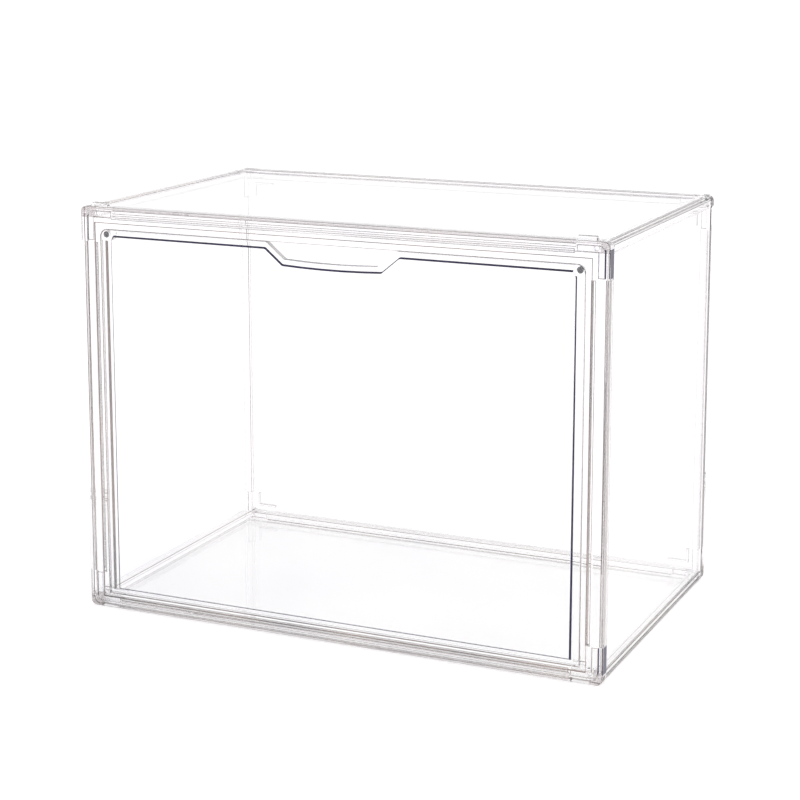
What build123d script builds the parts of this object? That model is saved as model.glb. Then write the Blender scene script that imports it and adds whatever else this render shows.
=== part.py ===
from build123d import *
import os

# A clear, snap-together display shoe box with a drop-front door, in millimetres.
# X runs along the width, Y from the front to the back and Z up. The origin is under the middle of the base.

# Overall size, without the stacking lugs.
WIDTH = 360.0
DEPTH = 220.0
HEIGHT = 270.0

# The mouldings: rails of square section, the panes between them, how far the top pane lies below the rails,
# the play between snapped pieces, and the small bevel along the edges.
RAIL = 8.0
PANE = 1.6
PANE_RECESS = 1.2
PLAY = 0.15
BEVEL = 0.3
CORNER_RADIUS = 4.0
FRONT_EDGE_RADIUS = 1.0

# The door, hinged on its bottom edge, and the play around it in the front frame.
DOOR_HALF_WIDTH = 164.9
DOOR_TOP = 255.3
DOOR_BOTTOM = 10.5
DOOR_THICKNESS = 4.0
DOOR_SETBACK = 0.4
DOOR_PLAY = 0.3
DOOR_CORNER_RADIUS = 4.5
DOOR_RIM_ROUNDING = 0.5
WINDOW_HALF_WIDTH = 159.2
WINDOW_TOP = 251.5
WINDOW_BOTTOM = 12.9
WINDOW_STEP = 2.4

# How far the step behind the window slopes inwards at its sides and top, and at its bottom.
WINDOW_SLOPE = 1.0
WINDOW_SLOPE_BOTTOM = 1.1

# The finger notch in the door's top edge: its half widths above and below, its depth and its floor's bow.
NOTCH_TOP_HALF = 44.4
NOTCH_BOTTOM_HALF = 32.0
NOTCH_DEPTH = 10.4
WINDOW_NOTCH_TOP_HALF = 46.0
WINDOW_NOTCH_BOTTOM_HALF = 34.0
WINDOW_NOTCH_DEPTH = 10.0
NOTCH_BOW = 1.0
NOTCH_ROUNDING = 2.5

# The hinge: stub pins moulded on the door that turn in sockets in the front frame.
PIN_RADIUS = 1.3
PIN_REACH = 4.2
PIN_CLEARANCE = 0.06

# The stop lip behind the door, with an apron that hangs down behind the finger notch.
LIP_OVERLAP = 1.5
APRON_HALF_WIDTH = 42.5
APRON_DROP = 4.3

# The shallow step in the front frame's face, around the door.
STEP_DEPTH = 0.5
STEP_INNER = 3.8
STEP_OUTER = 4.4
STEP_INNER_BELOW = 2.4
STEP_OUTER_BELOW = 3.0

# Disc magnets: a pair in the door's top corners and a pair facing them in the frame's lip.
MAGNET_RADIUS = 2.0
MAGNET_THICKNESS = 2.0
MAGNET_CHAMFER = 0.25
MAGNET_X = 161.5
MAGNET_Z = 252.1
MAGNET_BOSS_RADIUS = 4.7
MAGNET_PLAY = 0.1

# Corner connectors: an L of two legs that lies in a channel of an end frame, and a round peg along Y.
LEG_WIDTH = 3.9
LEG_INSET_X = 4.0
LEG_INSET_Z = 3.2
LEG_CORNER_RADIUS = 4.0
LEG_THICKNESS = 3.0
LEG_REACH_X = 21.2
LEG_REACH_Z = 22.5
PEG_RADIUS = 1.7
PEG_INSET_X = 10.0
PEG_LENGTH = 3.0

# Stacking lugs on top of the front frame, and the pockets under it that a lower box's lugs fill.
LUG_WIDTH = 11.5
LUG_THICKNESS = 3.0
LUG_HEIGHT = 2.8
LUG_CENTRE_X = 165.75
LUG_INSET = 1.0
LUG_ROUNDING = 0.6

# The tongues along the panels' ends, which lie in the end frames' grooves and stop short of the connectors.
TONGUE_REACH = 2.5
TONGUE_THICKNESS = 2.0
TONGUE_BELOW_TOP = 3.6
TONGUE_END_GAP = 1.0

# The hollows in the rear of the front frame's bars: the wall left in front of them, and their widths.
HOLLOW_FRONT_WALL = 2.5
HOLLOW_SIDE_X = (168.2, 171.2)
HOLLOW_TOP_Z = (261.9, 264.6)

# The grooves and ribs of the rails.
SIDE_GROOVE_DEPTH = 1.2
RAIL_LINE_WIDTH = 1.4
RAIL_LINE_DEPTH = 0.6
RAIL_LINE_HEIGHT = 2.4
CROSS_RIM = 3.0
INNER_ROUNDING = 1.0
SIDE_PANE_INSET = 1.6

# Small L-shaped locating ribs inside the back panel's corners.
RIB_WIDTH = 1.6
RIB_HEIGHT = 2.6
RIB_LONG = 15.0
RIB_SHORT = 10.0
RIB_GAP = 3.5

# Planes that the pieces share.
SIDE = WIDTH / 2
FRONT = -DEPTH / 2
FRAME_REAR = FRONT + RAIL
DOOR_FRONT = FRONT + DOOR_SETBACK
DOOR_REAR = DOOR_FRONT + DOOR_THICKNESS
LIP_FRONT = DOOR_REAR + DOOR_PLAY
HINGE_Y = DOOR_FRONT + DOOR_THICKNESS / 2
HINGE_Z = DOOR_BOTTOM + DOOR_THICKNESS / 2
OPENING_HALF_WIDTH = DOOR_HALF_WIDTH + DOOR_PLAY
OPENING_TOP = DOOR_TOP + DOOR_PLAY
OPENING_BOTTOM = DOOR_BOTTOM - DOOR_PLAY
PANEL_HALF_DEPTH = -FRAME_REAR - PLAY


def block(x, y, z):
    """A box given by its low and high ends along each axis."""
    size = [high - low for low, high in (x, y, z)]
    centre = [(low + high) / 2 for low, high in (x, y, z)]
    return Pos(*centre) * Box(*size)


def patch(x, z):
    """A rectangle in the XZ plane, given by its low and high ends."""
    return Pos((x[0] + x[1]) / 2, (z[0] + z[1]) / 2) * Rectangle(x[1] - x[0], z[1] - z[0])


def upright(sketch, front, back):
    """The solid that fills an XZ outline from one Y to another."""
    return extrude(Plane.XZ.offset(-back) * sketch, amount=back - front)


def opened_out(sketch, face):
    """What bevels the rim of an opening of an XZ outline, where it meets a face that looks to the front."""
    return extrude(Plane.XZ.offset(-face - BEVEL) * sketch, amount=BEVEL, taper=-45)


def rod_x(radius, low, high, y, z):
    """A round bar along X."""
    return Pos((low + high) / 2, y, z) * Rot(0, 90, 0) * Cylinder(radius, high - low)


def rod_y(radius, low, high, x, z):
    """A round bar along Y."""
    return Pos(x, (low + high) / 2, z) * Rot(90, 0, 0) * Cylinder(radius, high - low)


def left_and_right(shape):
    """A shape together with its mirror image across the middle of the box."""
    return [shape, mirror(shape, about=Plane.YZ)]


def four_corners(shape):
    """A shape at the top right corner, repeated at all four corners of an end frame."""
    upper = left_and_right(shape)
    return upper + [mirror(copy, about=Plane.XY.offset(HEIGHT / 2)) for copy in upper]


def notched_outline(half_width, bottom, top, top_half, bottom_half, depth):
    """An upright outline with the finger notch in its top edge, which has a bowed floor."""
    floor = top - depth
    edges = [
        Line((-top_half, top), (-half_width, top)),
        Line((-half_width, top), (-half_width, bottom)),
        Line((-half_width, bottom), (half_width, bottom)),
        Line((half_width, bottom), (half_width, top)),
        Line((half_width, top), (top_half, top)),
        Line((top_half, top), (bottom_half, floor)),
        ThreePointArc((bottom_half, floor), (0, floor - NOTCH_BOW), (-bottom_half, floor)),
        Line((-bottom_half, floor), (-top_half, top)),
    ]
    outline = make_face(edges)
    notch_corners = outline.vertices().filter_by(lambda vertex: abs(vertex.X) < half_width - 1)
    return fillet(notch_corners, NOTCH_ROUNDING)


def connector_outline(grow):
    """The L of a connector's two legs at the top right corner, grown on every side for its channel."""
    right = SIDE - LEG_INSET_X + grow
    top = HEIGHT - LEG_INSET_Z + grow
    width = LEG_WIDTH + 2 * grow
    across = patch((SIDE - LEG_REACH_X - grow, right), (top - width, top))
    down = patch((right - width, right), (HEIGHT - LEG_REACH_Z - grow, top))
    outline = across + down
    tip = outline.vertices().sort_by(lambda vertex: vertex.X + vertex.Y)[-1]
    return fillet(tip, LEG_CORNER_RADIUS + grow)


def connector_peg(radius, rear):
    """The round peg of the connector at the front, right and top, or the hole for it, as far as a Y."""
    return rod_y(radius, FRAME_REAR, rear, SIDE - PEG_INSET_X, HEIGHT - LEG_INSET_Z - LEG_WIDTH / 2)


def stacking_lug():
    """The right-hand lug on the front frame's top."""
    lug = block(
        (LUG_CENTRE_X - LUG_WIDTH / 2, LUG_CENTRE_X + LUG_WIDTH / 2),
        (FRONT + LUG_INSET, FRONT + LUG_INSET + LUG_THICKNESS),
        (HEIGHT, HEIGHT + LUG_HEIGHT),
    )
    return fillet(lug.edges().group_by(Axis.Z)[-1], LUG_ROUNDING)


def stacking_pocket():
    """The pocket in the underside of the front frame, at the right, for a lower box's lug."""
    return block(
        (LUG_CENTRE_X - LUG_WIDTH / 2 - DOOR_PLAY, LUG_CENTRE_X + LUG_WIDTH / 2 + DOOR_PLAY),
        (FRONT + LUG_INSET - DOOR_PLAY, FRONT + LUG_INSET + LUG_THICKNESS + DOOR_PLAY),
        (0, LUG_HEIGHT + DOOR_PLAY),
    )


def top_tongue(grow, low):
    """The tongue along the top panel's front edge, or its groove when grown, as far as a Y."""
    half = SIDE - LEG_REACH_X - TONGUE_END_GAP + grow
    middle = HEIGHT - TONGUE_BELOW_TOP
    reach = TONGUE_THICKNESS / 2 + grow
    tongue = block((-half, half), (FRAME_REAR - TONGUE_REACH - grow, low), (middle - reach, middle + reach))
    return chamfer(tongue.faces().sort_by(Axis.Y)[0].edges().filter_by(Axis.X), BEVEL)


def side_tongue(grow, low):
    """The tongue along the right panel's front edge, or its groove when grown, as far as a Y."""
    outer = SIDE - SIDE_PANE_INSET
    end = LEG_REACH_Z + TONGUE_END_GAP - grow
    run_y = (FRAME_REAR - TONGUE_REACH - grow, low)
    tongue = block((outer - PANE - grow, outer + grow), run_y, (end, HEIGHT - end))
    return chamfer(tongue.faces().sort_by(Axis.Y)[0].edges().filter_by(Axis.Z), BEVEL)


def tongue_grooves():
    """All the grooves in the rear face of the front frame."""
    upper = top_tongue(PLAY, FRAME_REAR)
    lower = mirror(upper, about=Plane.XY.offset(HEIGHT / 2))
    return [upper, lower] + left_and_right(side_tongue(PLAY, FRAME_REAR))


def bar_hollows():
    """The hollows in the front frame's four bars, open at the rear, which stop short of the connectors."""
    run_y = (FRONT + HOLLOW_FRONT_WALL, FRAME_REAR)
    half = SIDE - LEG_REACH_X - TONGUE_END_GAP
    end = LEG_REACH_Z + TONGUE_END_GAP
    upper = block((-half, half), run_y, HOLLOW_TOP_Z)
    upper = chamfer(upper.faces().sort_by(Axis.Y)[0].edges(), BEVEL)
    lower = mirror(upper, about=Plane.XY.offset(HEIGHT / 2))
    right = block(HOLLOW_SIDE_X, run_y, (end, HEIGHT - end))
    right = chamfer(right.faces().sort_by(Axis.Y)[0].edges(), BEVEL)
    return [upper, lower] + left_and_right(right)


def end_plate():
    """A whole end of the box, still solid: rounded, with its grooves and connector channels."""
    outline = patch((-SIDE, SIDE), (0, HEIGHT))
    outline = fillet(outline.vertices(), CORNER_RADIUS)
    plate = upright(outline, FRONT, FRAME_REAR)
    plate = fillet(plate.faces().sort_by(Axis.Y)[0].edges(), FRONT_EDGE_RADIUS)
    plate = chamfer(plate.faces().sort_by(Axis.Y)[-1].edges(), BEVEL)
    channel = upright(connector_outline(PLAY), FRAME_REAR - LEG_THICKNESS - PLAY, FRAME_REAR)
    plate -= four_corners(channel)
    return plate - tongue_grooves()


def face_step():
    """The shallow step in the front frame's face, with sloping sides, wider at the face."""
    outlines = []
    for y, reach, below in (
        (FRONT, STEP_OUTER, STEP_OUTER_BELOW),
        (FRONT + STEP_DEPTH, STEP_INNER, STEP_INNER_BELOW),
    ):
        half = OPENING_HALF_WIDTH + reach
        outline = patch((-half, half), (OPENING_BOTTOM - below, OPENING_TOP + reach))
        outlines.append(Plane.XZ.offset(-y) * outline)
    return loft(outlines)


def door_opening():
    """The front frame's opening in front of the stop lip, rounded at its top corners."""
    opening = patch((-OPENING_HALF_WIDTH, OPENING_HALF_WIDTH), (OPENING_BOTTOM, OPENING_TOP))
    upper_corners = opening.vertices().sort_by(Axis.Y)[-2:]
    return fillet(upper_corners, DOOR_CORNER_RADIUS + DOOR_PLAY)


def lip_opening():
    """The front frame's opening through the stop lip, less the apron and the two magnet bosses."""
    half = DOOR_HALF_WIDTH - LIP_OVERLAP
    top = DOOR_TOP - LIP_OVERLAP
    opening = patch((-half, half), (DOOR_BOTTOM + LIP_OVERLAP, top))
    apron = make_face(
        [
            ThreePointArc((-APRON_HALF_WIDTH, top), (0, top - APRON_DROP), (APRON_HALF_WIDTH, top)),
            Line((APRON_HALF_WIDTH, top), (-APRON_HALF_WIDTH, top)),
        ]
    )
    boss = Pos(MAGNET_X, MAGNET_Z) * Circle(MAGNET_BOSS_RADIUS)
    return opening - apron - boss - mirror(boss, about=Plane.YZ)


def front_frame():
    """The frame that the door closes into."""
    frame = end_plate()
    frame += left_and_right(stacking_lug())
    frame -= left_and_right(stacking_pocket())
    frame -= bar_hollows()
    frame -= upright(door_opening(), FRONT, LIP_FRONT)
    frame -= opened_out(door_opening(), FRONT + STEP_DEPTH)
    frame -= upright(lip_opening(), LIP_FRONT, FRAME_REAR)
    frame -= face_step()
    pocket_end = LIP_FRONT + MAGNET_THICKNESS + MAGNET_PLAY
    pocket = rod_y(MAGNET_RADIUS + MAGNET_PLAY, LIP_FRONT, pocket_end, MAGNET_X, MAGNET_Z)
    frame -= left_and_right(pocket)
    socket_end = DOOR_HALF_WIDTH + PIN_REACH + DOOR_PLAY
    socket = rod_x(PIN_RADIUS + PIN_CLEARANCE, DOOR_HALF_WIDTH, socket_end, HINGE_Y, HINGE_Z)
    return frame - left_and_right(socket)


def locating_rib():
    """The L-shaped rib inside the back panel's lower right corner, in the front frame's place."""
    low_x = SIDE - RAIL - RIB_GAP
    low_z = RAIL + RIB_GAP
    along = patch((low_x - RIB_LONG, low_x), (low_z, low_z + RIB_WIDTH))
    up = patch((low_x - RIB_WIDTH, low_x), (low_z, low_z + RIB_SHORT))
    rib = upright(along + up, FRONT + PANE, FRONT + PANE + RIB_HEIGHT)
    return chamfer(rib.faces().sort_by(Axis.Y)[-1].edges(), BEVEL)


def back_panel():
    """The back of the box: a rim of rail section round a pane, with locating ribs in its corners."""
    hollow = patch((-SIDE + RAIL, SIDE - RAIL), (RAIL, HEIGHT - RAIL))
    hollow = fillet(hollow.vertices(), INNER_ROUNDING)
    panel = end_plate() - upright(hollow, FRONT + PANE, FRAME_REAR)
    panel -= mirror(opened_out(hollow, -FRAME_REAR), about=Plane.XZ)
    panel += four_corners(locating_rib())
    return mirror(panel, about=Plane.XZ)


def depth_rail():
    """The top panel's right-hand rail, with its side groove and its outer line."""
    run = (-PANEL_HALF_DEPTH, PANEL_HALF_DEPTH)
    rail = block((SIDE - RAIL, SIDE), run, (HEIGHT - RAIL, HEIGHT))
    long_edges = rail.edges().filter_by(Axis.Y).sort_by(lambda edge: edge.center().X + edge.center().Z)
    rail = chamfer(long_edges[:-1], BEVEL)
    outer_edge = rail.edges().filter_by(Axis.Y).sort_by(lambda edge: edge.center().X + edge.center().Z)[-1]
    rail = fillet(outer_edge, CORNER_RADIUS)
    outer = SIDE - SIDE_PANE_INSET
    low = HEIGHT - RAIL
    rail -= block((outer - PANE - PLAY, outer + PLAY), run, (low, low + SIDE_GROOVE_DEPTH))
    line_low = low + RAIL_LINE_HEIGHT
    return rail - block((SIDE - RAIL_LINE_DEPTH, SIDE), run, (line_low, line_low + RAIL_LINE_WIDTH))


def top_panel():
    """The top of the box: two depth rails, a pane a little below their tops, and a cross rim at each end."""
    inner = SIDE - RAIL
    pane_top = HEIGHT - PANE_RECESS
    pane = (pane_top - PANE, pane_top)
    panel = block((-inner, inner), (-PANEL_HALF_DEPTH, PANEL_HALF_DEPTH), pane)
    panel += left_and_right(depth_rail())
    rim = block(
        (-inner, inner),
        (-PANEL_HALF_DEPTH, -PANEL_HALF_DEPTH + CROSS_RIM),
        (HEIGHT - RAIL, HEIGHT),
    )
    inner_face = rim.faces().sort_by(Axis.Y)[-1]
    rim = chamfer(inner_face.edges().filter_by(Axis.X), BEVEL)
    hole = connector_peg(PEG_RADIUS + PLAY, -PANEL_HALF_DEPTH + CROSS_RIM)
    front_end = rim - left_and_right(hole) + top_tongue(0, -PANEL_HALF_DEPTH)
    return panel + front_end + mirror(front_end, about=Plane.XZ)


def right_panel():
    """The right side of the box: a pane that stands in the rails' grooves, with a tongue into each end."""
    outer = SIDE - SIDE_PANE_INSET
    low = RAIL - SIDE_GROOVE_DEPTH + PLAY
    panel = block(
        (outer - PANE, outer),
        (-PANEL_HALF_DEPTH, PANEL_HALF_DEPTH),
        (low, HEIGHT - low),
    )
    tongue = side_tongue(0, -PANEL_HALF_DEPTH)
    return panel + tongue + mirror(tongue, about=Plane.XZ)


def connector():
    """The connector at the front, right and top: two legs in the frame and a peg in the depth rail."""
    legs = upright(connector_outline(0), FRAME_REAR - LEG_THICKNESS, FRAME_REAR)
    legs = chamfer(legs.faces().sort_by(Axis.Y)[0].edges(), BEVEL)
    peg = connector_peg(PEG_RADIUS, FRAME_REAR + PEG_LENGTH)
    peg = fillet(peg.faces().sort_by(Axis.Y)[-1].edges(), LUG_ROUNDING)
    return legs + peg


def window_outline(around, bottom):
    """The window's outline, drawn in from its sides and top, and from its bottom."""
    return notched_outline(
        WINDOW_HALF_WIDTH - around,
        WINDOW_BOTTOM + bottom,
        WINDOW_TOP - around,
        WINDOW_NOTCH_TOP_HALF,
        WINDOW_NOTCH_BOTTOM_HALF,
        WINDOW_NOTCH_DEPTH,
    )


def window_recess():
    """The recess behind the window that thins the door there, with sloping sides."""
    rim = Plane.XZ.offset(-DOOR_REAR) * window_outline(0, 0)
    floor = Plane.XZ.offset(-DOOR_REAR + WINDOW_STEP) * window_outline(WINDOW_SLOPE, WINDOW_SLOPE_BOTTOM)
    recess = loft([floor, rim], ruled=True)
    bosses = left_and_right(rod_y(MAGNET_BOSS_RADIUS, DOOR_FRONT, DOOR_REAR, MAGNET_X, MAGNET_Z))
    return recess - bosses


def door_panel():
    """The door: a thick rim round a thinner window, with magnet bosses and hinge stubs."""
    outline = notched_outline(
        DOOR_HALF_WIDTH, HINGE_Z, DOOR_TOP, NOTCH_TOP_HALF, NOTCH_BOTTOM_HALF, NOTCH_DEPTH
    )
    top_corners = outline.vertices().sort_by(Axis.X)
    top_corners = [top_corners.group_by(Axis.X)[i].sort_by(Axis.Y)[-1] for i in (0, -1)]
    outline = fillet(top_corners, DOOR_CORNER_RADIUS)
    door = upright(outline, DOOR_FRONT, DOOR_REAR)
    front_edges = door.faces().sort_by(Axis.Y)[0].edges()
    front_edges = front_edges.filter_by(lambda edge: edge.center().Z > HINGE_Z + 1)
    door = fillet(front_edges, DOOR_RIM_ROUNDING)
    door += rod_x(DOOR_THICKNESS / 2, -DOOR_HALF_WIDTH, DOOR_HALF_WIDTH, HINGE_Y, HINGE_Z)
    door -= window_recess()
    reach = DOOR_HALF_WIDTH + PIN_REACH
    door += rod_x(PIN_RADIUS, -reach, reach, HINGE_Y, HINGE_Z)
    pocket_start = DOOR_REAR - MAGNET_THICKNESS - MAGNET_PLAY
    pocket = rod_y(MAGNET_RADIUS + MAGNET_PLAY, pocket_start, DOOR_REAR, MAGNET_X, MAGNET_Z)
    return door - left_and_right(pocket)


def magnet(front):
    """A right-hand disc magnet with chamfered rims, from the Y of its front face."""
    disc = rod_y(MAGNET_RADIUS, front, front + MAGNET_THICKNESS, MAGNET_X, MAGNET_Z)
    return chamfer(disc.edges().filter_by(GeomType.CIRCLE), MAGNET_CHAMFER)


def all_pieces():
    """Every piece of the box by its node name."""
    top = top_panel()
    right = right_panel()
    pieces = {
        "front_frame": front_frame(),
        "back_panel": back_panel(),
        "top_panel": top,
        "bottom_panel": mirror(top, about=Plane.XY.offset(HEIGHT / 2)),
        "right_panel": right,
        "left_panel": mirror(right, about=Plane.YZ),
        "door_panel": door_panel(),
    }
    magnet_sets = {
        "door_magnet": magnet(DOOR_REAR - MAGNET_THICKNESS - MAGNET_PLAY / 2),
        "frame_magnet": magnet(LIP_FRONT + MAGNET_PLAY / 2),
    }
    for name, disc in magnet_sets.items():
        for side, copy in zip(("right", "left"), left_and_right(disc)):
            pieces[f"{name}_{side}"] = copy
    front_corner = connector()
    for end, shape in (("front", front_corner), ("back", mirror(front_corner, about=Plane.XZ))):
        corners = ("right_top", "left_top", "right_bottom", "left_bottom")
        for corner, copy in zip(corners, four_corners(shape)):
            pieces[f"connector_{end}_{corner}"] = copy
    return pieces


os.makedirs("parts", exist_ok=True)
for node, piece in all_pieces().items():
    export_step(piece, f"parts/{node}.step")
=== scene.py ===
import math

import bpy
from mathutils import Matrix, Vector


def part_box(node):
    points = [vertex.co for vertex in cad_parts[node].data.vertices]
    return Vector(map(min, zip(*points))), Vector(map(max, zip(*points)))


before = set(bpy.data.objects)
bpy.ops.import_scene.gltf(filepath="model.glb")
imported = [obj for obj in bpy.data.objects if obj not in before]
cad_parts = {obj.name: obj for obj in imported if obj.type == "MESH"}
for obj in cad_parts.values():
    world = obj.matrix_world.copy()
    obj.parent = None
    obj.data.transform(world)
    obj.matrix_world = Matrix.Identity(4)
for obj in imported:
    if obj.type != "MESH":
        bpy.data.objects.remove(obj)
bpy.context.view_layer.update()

# The floor, which is pale, glows and reaches the horizon.
FLOOR_HALF = 30.0
FLOOR_DROP = 0.0004
FLOOR_WHITE = 0.9
FLOOR_GLOW = 0.505

# The surround, which is white from the horizon up to a middle height and greyer overhead, so that the clear
# mouldings' edges have something darker to mirror. The heights are those of a unit sphere.
SKY_WHITE_UP_TO = 0.38
SKY_GREY_FROM = 0.54
SKY_GREY = (0.60, 0.57, 0.58)
SKY_STRENGTH = 1.06

# A weak, wide lamp overhead.
LAMP_SIZE = 2.5
LAMP_POWER = 2.0
LAMP_PLACE = (0.0, -0.3, 2.4)

# Light is led a long way along the inside of the thin panes before it comes out again.
LIGHT_PATH_BOUNCES = 64

# The camera: the point it looks at, its direction and distance from there, and a long lens shifted down.
TARGET = Vector((-0.0024, 0.0, 0.2161))
AZIMUTH = math.radians(24.30)
ELEVATION = math.radians(10.28)
DISTANCE = 1.3449
LENS = 90.97
SHIFT_Y = -0.15
CLIP_END = 100.0

# The plastic: how it refracts, the tint it shows where light goes a long way through it, and the colours
# that its surfaces go between. The noises' scales are in waves to the metre.
PLASTIC_IOR = 1.5
PLASTIC_TINT = (0.56, 0.49, 0.49)
PLASTIC_DENSITY = 3.0
COLOUR_SCALE = 9.0
HAZE_SCALE = 40.0
WHITES = ((0.97, 0.97, 0.98), (1.0, 1.0, 1.0))
# Painted reflection: greys for bevels, the face step and the lip's sides, standing in for the darker
# surroundings that sharp edges mirror.
PAINTED_REFLECTION_GREYS = ((0.18, 0.17, 0.17), (0.46, 0.36, 0.32))
# Painted reflection: navies for steep faces, standing in for the dark surroundings they mirror through the
# plastic.
PAINTED_REFLECTION_NAVIES = ((0.008, 0.007, 0.06), (0.014, 0.012, 0.11))
# Painted light: near whites for the finger notch's walls, standing in for the light seen through them.
PAINTED_LIGHT_GREYS = ((0.93, 0.92, 0.93), (1.0, 1.0, 1.0))

# Roughnesses that surfaces go between.
POLISH = (0.0, 0.01)
CONNECTOR_HAZE = (0.02, 0.06)
EDGE_HAZE = (0.02, 0.08)
DULL_HAZE = (0.05, 0.15)

# The waves left by moulding: how many there are to the metre, and their height in metres.
PANE_WAVES = (14.0, 0.00002)
FRAME_WAVES = (30.0, 0.00003)
BROAD_FLAT_WAVES = (30.0, 0.00002)
FINE_WAVES = (60.0, 0.00003)

# The magnets' plating.
NICKEL_GREYS = ((0.10, 0.10, 0.11), (0.17, 0.17, 0.18))
NICKEL_GREY_SCALE = 500.0
NICKEL_HAZE = (0.25, 0.45)
NICKEL_HAZE_SCALE = 900.0

# Where in a noise's range a ramp leaves its low value and reaches its high one.
RAMP_FROM = 0.35
RAMP_TO = 0.65

# Bevels lie at 45 degrees to the faces they join, so one part of their normal is the sine of that.
BEVEL_SINE = math.sin(math.radians(45))
BEVEL_TOLERANCE = 0.02
BEVEL_WIDEST = 0.0005

# How a face looks: the part of its normal along an axis when it looks that way, and when it doesn't at all.
SQUARE_ON = 0.9
EDGE_ON = 0.1

# Where the faces that get a painted reflection or painted light lie, and how far they tilt, as limits on
# the part of their normal along one axis. Depths count back from a node's foremost point, insets in from
# the front frame's outside, and heights up from the base.
WINDOW_SLOPE_TILT = (0.2, 0.95)
WINDOW_SLOPE_DEPTH = 0.0020
WINDOW_SLOPE_LOWEST = 0.0128
NOTCH_WALL_TILT = (0.3, 0.95)
NOTCH_HALF_WIDTH = 0.05
NOTCH_LOWEST = 0.24
CHANNEL_WALL_INSET = (0.0035, 0.0042)
CHANNEL_WALL_DEPTH = 0.0040
FACE_STEP_TILT = (0.5, 0.9)
FACE_STEP_DEPTH = 0.0006
FACE_STEP_INSET = 0.004
LIP_SIDE_INSET = (0.0160, 0.0170)
LIP_SIDE_DEPTH = 0.0047

# The nodes whose bevels are clearer than the others', their painted reflection grey letting more through.
CLEAR_EDGED = ("connector", "back_panel", "top_panel")

# The material slots of a node.
# The slot of the painted reflection grey.
PAINTED_REFLECTION_SLOT = 1
# The slot of the painted reflection navy.
PAINTED_NAVY_SLOT = 2
# The slot of the painted light white.
PAINTED_LIGHT_SLOT = 3

scene = bpy.context.scene
door_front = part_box("door_panel")[0].y
frame_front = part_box("front_frame")[0].y
frame_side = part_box("front_frame")[1].x
box_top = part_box("top_panel")[1].z


def add_noise(tree, scale):
    """A noise in the part's own metres, as many waves to the metre as the scale says."""
    where = tree.nodes.new("ShaderNodeTexCoord")
    noise = tree.nodes.new("ShaderNodeTexNoise")
    noise.inputs["Scale"].default_value = scale
    tree.links.new(where.outputs["Object"], noise.inputs["Vector"])
    return noise


def add_ramp(tree, noise, socket, low, high):
    """Colours or greys a socket by a noise, from its low value to its high one."""
    ramp = tree.nodes.new("ShaderNodeValToRGB")
    first, last = ramp.color_ramp.elements
    first.position = RAMP_FROM
    last.position = RAMP_TO
    first.color = (*low, 1)
    last.color = (*high, 1)
    tree.links.new(noise.outputs["Fac"], ramp.inputs["Fac"])
    tree.links.new(ramp.outputs["Color"], socket)


def add_haze(tree, shader, scale, low, high):
    """Lets the roughness go between two values by a noise."""
    add_ramp(tree, add_noise(tree, scale), shader.inputs["Roughness"], (low,) * 3, (high,) * 3)


def add_waves(tree, shader, scale, height):
    """The faint waviness that moulding leaves in a polished surface."""
    bump = tree.nodes.new("ShaderNodeBump")
    bump.inputs["Distance"].default_value = height
    tree.links.new(add_noise(tree, scale).outputs["Fac"], bump.inputs["Height"])
    tree.links.new(bump.outputs["Normal"], shader.inputs["Normal"])


def let_lamps_through(tree, shader):
    """Makes a plastic cast no shadow, as clear panes in a bright room hardly do."""
    path = tree.nodes.new("ShaderNodeLightPath")
    nothing = tree.nodes.new("ShaderNodeBsdfTransparent")
    mix = tree.nodes.new("ShaderNodeMixShader")
    tree.links.new(path.outputs["Is Shadow Ray"], mix.inputs["Fac"])
    tree.links.new(shader.outputs["BSDF"], mix.inputs[1])
    tree.links.new(nothing.outputs["BSDF"], mix.inputs[2])
    tree.links.new(mix.outputs["Shader"], tree.nodes["Material Output"].inputs["Surface"])


def plastic(name, colours, haze, wave_scale, wave_height, see_through=1.0, shine=0.5):
    """Moulded plastic: refracting, faintly wavy, with a tint that deepens along the light's way inside.

    A slow noise goes between the two colours, and a quicker one between the two roughnesses of the haze."""
    material = bpy.data.materials.new(name)
    material.use_nodes = True
    tree = material.node_tree
    shader = tree.nodes["Principled BSDF"]
    shader.inputs["IOR"].default_value = PLASTIC_IOR
    shader.inputs["Transmission Weight"].default_value = see_through
    shader.inputs["Specular IOR Level"].default_value = shine
    add_ramp(tree, add_noise(tree, COLOUR_SCALE), shader.inputs["Base Color"], *colours)
    add_haze(tree, shader, HAZE_SCALE, *haze)
    add_waves(tree, shader, wave_scale, wave_height)
    let_lamps_through(tree, shader)
    inside = tree.nodes.new("ShaderNodeVolumeAbsorption")
    inside.inputs["Color"].default_value = (*PLASTIC_TINT, 1)
    inside.inputs["Density"].default_value = PLASTIC_DENSITY
    tree.links.new(inside.outputs["Volume"], tree.nodes["Material Output"].inputs["Volume"])
    return material


def clear_plastic(name, haze, waves):
    """The plastic of the pieces themselves, quite clear."""
    return plastic(name, WHITES, haze, *waves)


def painted_reflection_plastic(name, see_through):
    """A greyer plastic for bevels, a painted reflection standing in for what sharp moulded edges mirror."""
    return plastic(name, PAINTED_REFLECTION_GREYS, EDGE_HAZE, *FINE_WAVES, see_through=see_through)


def painted_reflection_navy_plastic():
    """A painted reflection: the dark blue of steep faces that mirror the dark surroundings through the
    plastic.
    """
    return plastic("painted_reflection_navy_edge", PAINTED_REFLECTION_NAVIES, DULL_HAZE, *BROAD_FLAT_WAVES, see_through=0.0, shine=0.0)


def painted_light_plastic():
    """The finger notch's walls, nearly white: painted light standing in for the light seen through them."""
    return plastic("painted_light_notch_wall", PAINTED_LIGHT_GREYS, DULL_HAZE, *FINE_WAVES, see_through=0.1)


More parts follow.
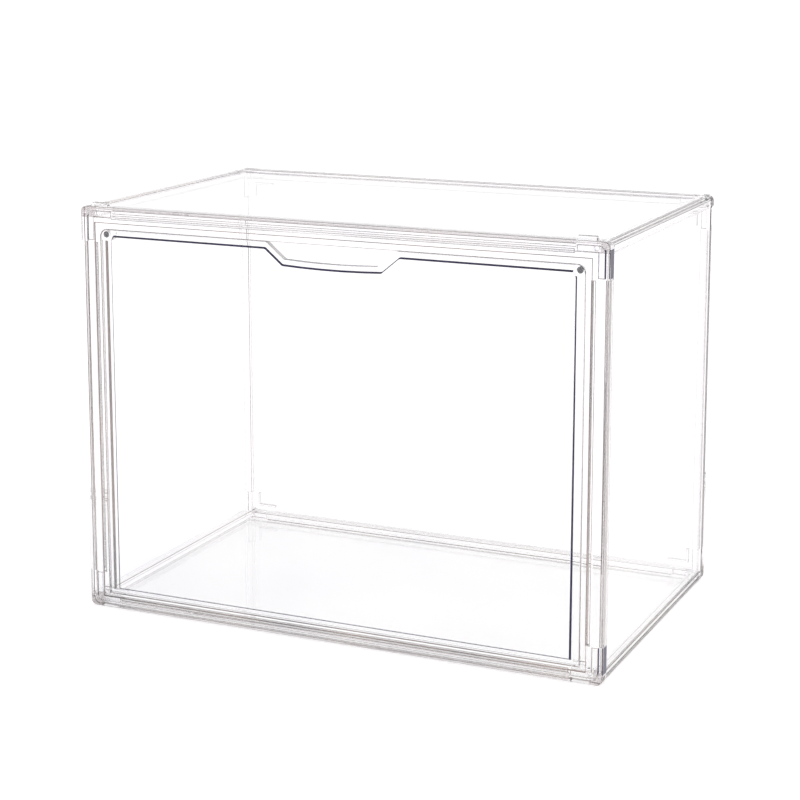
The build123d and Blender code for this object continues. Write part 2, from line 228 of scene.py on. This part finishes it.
def nickel():
    """Dulled nickel plate, with fine marks in its shine."""
    material = bpy.data.materials.new("magnet_nickel")
    material.use_nodes = True
    tree = material.node_tree
    shader = tree.nodes["Principled BSDF"]
    shader.inputs["Metallic"].default_value = 1.0
    add_ramp(tree, add_noise(tree, NICKEL_GREY_SCALE), shader.inputs["Base Color"], *NICKEL_GREYS)
    add_haze(tree, shader, NICKEL_HAZE_SCALE, *NICKEL_HAZE)
    return material


def is_bevel(mesh, face):
    """Whether a face lies at 45 degrees and is as narrow as a bevel."""
    corners = [mesh.vertices[index].co for index in face.vertices]
    longest = max((a - b).length for a in corners for b in corners)
    slopes = any(abs(abs(part) - BEVEL_SINE) < BEVEL_TOLERANCE for part in face.normal)
    return slopes and 2 * face.area / longest < BEVEL_WIDEST


def between(limits, value):
    """Whether a value lies between a pair of limits."""
    return limits[0] < value < limits[1]


def is_window_slope(face):
    """Whether a face of the door is one of the sloping sides of the recess behind its window."""
    where = face.center
    in_recess = where.y - door_front > WINDOW_SLOPE_DEPTH and where.z > WINDOW_SLOPE_LOWEST
    return between(WINDOW_SLOPE_TILT, face.normal.y) and in_recess


def is_notch_wall(face):
    """Whether a face of the door is one of the finger notch's sloping side walls."""
    tilted = between(NOTCH_WALL_TILT, abs(face.normal.x)) and abs(face.normal.y) < EDGE_ON
    return tilted and abs(face.center.x) < NOTCH_HALF_WIDTH and face.center.z > NOTCH_LOWEST


def is_channel_wall(face):
    """Whether a face of the front frame is the outer side wall of a connector leg's channel."""
    beside_leg = between(CHANNEL_WALL_INSET, frame_side - abs(face.center.x))
    behind_front = face.center.y - frame_front > CHANNEL_WALL_DEPTH
    return abs(face.normal.x) > SQUARE_ON and beside_leg and behind_front


def is_face_step(face):
    """Whether a face of the front frame is a sloping side of the shallow step round the door."""
    where = face.center
    at_face = between(FACE_STEP_TILT, abs(face.normal.y)) and where.y - frame_front < FACE_STEP_DEPTH
    clear_of_sides = frame_side - abs(where.x) > FACE_STEP_INSET
    return at_face and clear_of_sides and FACE_STEP_INSET < where.z < box_top - FACE_STEP_INSET


def is_lip_side(face):
    """Whether a face of the front frame is the upright inner side of its stop lip."""
    beside_door = between(LIP_SIDE_INSET, frame_side - abs(face.center.x))
    behind_door = face.center.y - frame_front > LIP_SIDE_DEPTH
    return abs(face.normal.x) > SQUARE_ON and beside_door and behind_door


def give_slot(mesh, slot, chosen):
    """Puts the faces of a mesh that a test chooses in a material slot."""
    for face in mesh.polygons:
        if chosen(face):
            face.material_index = slot


def dress_nodes():
    """Gives every node its material, then its bevels and its few special faces theirs: painted reflections
    and painted light.
    """
    looks = {
        "connector": clear_plastic("clear_connector", CONNECTOR_HAZE, FINE_WAVES),
        "door_panel": clear_plastic("clear_door", POLISH, PANE_WAVES),
        "front_frame": clear_plastic("clear_frame", POLISH, FRAME_WAVES),
        "panel": clear_plastic("clear_panel", POLISH, PANE_WAVES),
    }
    # Painted reflection greys for the bevels, more see-through on the clearer nodes.
    edge = painted_reflection_plastic("painted_reflection_edge", see_through=0.4)
    clear_edge = painted_reflection_plastic("connector_painted_reflection_edge", see_through=0.8)
    plating = nickel()
    for name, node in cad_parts.items():
        mesh = node.data
        mesh.materials.clear()
        if "magnet" in name:
            mesh.materials.append(plating)
            continue
        mesh.materials.append(next(look for part, look in looks.items() if part in name))
        mesh.materials.append(clear_edge if any(part in name for part in CLEAR_EDGED) else edge)
        # Bevels get the painted reflection grey.
        give_slot(mesh, PAINTED_REFLECTION_SLOT, lambda face: is_bevel(mesh, face))
    # Painted reflection navy for the steep faces.
    painted_navy = painted_reflection_navy_plastic()
    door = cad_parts["door_panel"].data
    door.materials.append(painted_navy)
    door.materials.append(painted_light_plastic())
    # The window recess's sloping sides get the painted reflection navy.
    give_slot(door, PAINTED_NAVY_SLOT, is_window_slope)
    # The finger notch's walls get the painted light white.
    give_slot(door, PAINTED_LIGHT_SLOT, is_notch_wall)
    front_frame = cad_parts["front_frame"].data
    front_frame.materials.append(painted_navy)
    # The outer walls of the connector channels get the painted reflection navy.
    give_slot(front_frame, PAINTED_NAVY_SLOT, is_channel_wall)
    # The face step and the lip's sides get the painted reflection grey as well.
    give_slot(front_frame, PAINTED_REFLECTION_SLOT, is_face_step)
    give_slot(front_frame, PAINTED_REFLECTION_SLOT, is_lip_side)


def make_world():
    """A surround that is white from below up to a middle height and greyer above."""
    world = bpy.data.worlds.new("studio")
    scene.world = world
    world.use_nodes = True
    tree = world.node_tree
    where = tree.nodes.new("ShaderNodeTexCoord")
    parts = tree.nodes.new("ShaderNodeSeparateXYZ")
    ramp = tree.nodes.new("ShaderNodeValToRGB")
    tree.links.new(where.outputs["Generated"], parts.inputs["Vector"])
    tree.links.new(parts.outputs["Z"], ramp.inputs["Fac"])
    white, grey = ramp.color_ramp.elements
    white.position = SKY_WHITE_UP_TO
    white.color = (1, 1, 1, 1)
    grey.position = SKY_GREY_FROM
    grey.color = (*SKY_GREY, 1)
    background = tree.nodes["Background"]
    background.inputs["Strength"].default_value = SKY_STRENGTH
    tree.links.new(ramp.outputs["Color"], background.inputs["Color"])


def make_floor():
    """One large square just under the box."""
    mesh = bpy.data.meshes.new("floor")
    h = FLOOR_HALF
    z = -FLOOR_DROP
    mesh.from_pydata([(-h, -h, z), (h, -h, z), (h, h, z), (-h, h, z)], [], [(0, 1, 2, 3)])
    floor = bpy.data.objects.new("floor", mesh)
    scene.collection.objects.link(floor)
    material = bpy.data.materials.new("floor_white")
    material.use_nodes = True
    shader = material.node_tree.nodes["Principled BSDF"]
    shader.inputs["Base Color"].default_value = (FLOOR_WHITE, FLOOR_WHITE, FLOOR_WHITE, 1)
    shader.inputs["Roughness"].default_value = 1.0
    shader.inputs["Specular IOR Level"].default_value = 0.0
    shader.inputs["Emission Color"].default_value = (1, 1, 1, 1)
    shader.inputs["Emission Strength"].default_value = FLOOR_GLOW
    mesh.materials.append(material)


def make_light():
    lamp = bpy.data.lights.new("overhead", "AREA")
    lamp.size = LAMP_SIZE
    lamp.energy = LAMP_POWER
    light = bpy.data.objects.new("overhead", lamp)
    light.location = LAMP_PLACE
    scene.collection.objects.link(light)


def make_camera():
    lens = bpy.data.cameras.new("camera")
    lens.lens = LENS
    lens.shift_y = SHIFT_Y
    lens.clip_end = CLIP_END
    camera = bpy.data.objects.new("camera", lens)
    scene.collection.objects.link(camera)
    flat = math.cos(ELEVATION)
    back = Vector((math.sin(AZIMUTH) * flat, -math.cos(AZIMUTH) * flat, math.sin(ELEVATION)))
    camera.location = TARGET + back * DISTANCE
    camera.rotation_euler = back.to_track_quat("Z", "Y").to_euler()
    scene.camera = camera


scene.view_settings.view_transform = "Standard"
scene.cycles.max_bounces = LIGHT_PATH_BOUNCES
scene.cycles.glossy_bounces = LIGHT_PATH_BOUNCES
scene.cycles.transmission_bounces = LIGHT_PATH_BOUNCES
make_world()
make_floor()
make_light()
make_camera()
dress_nodes()
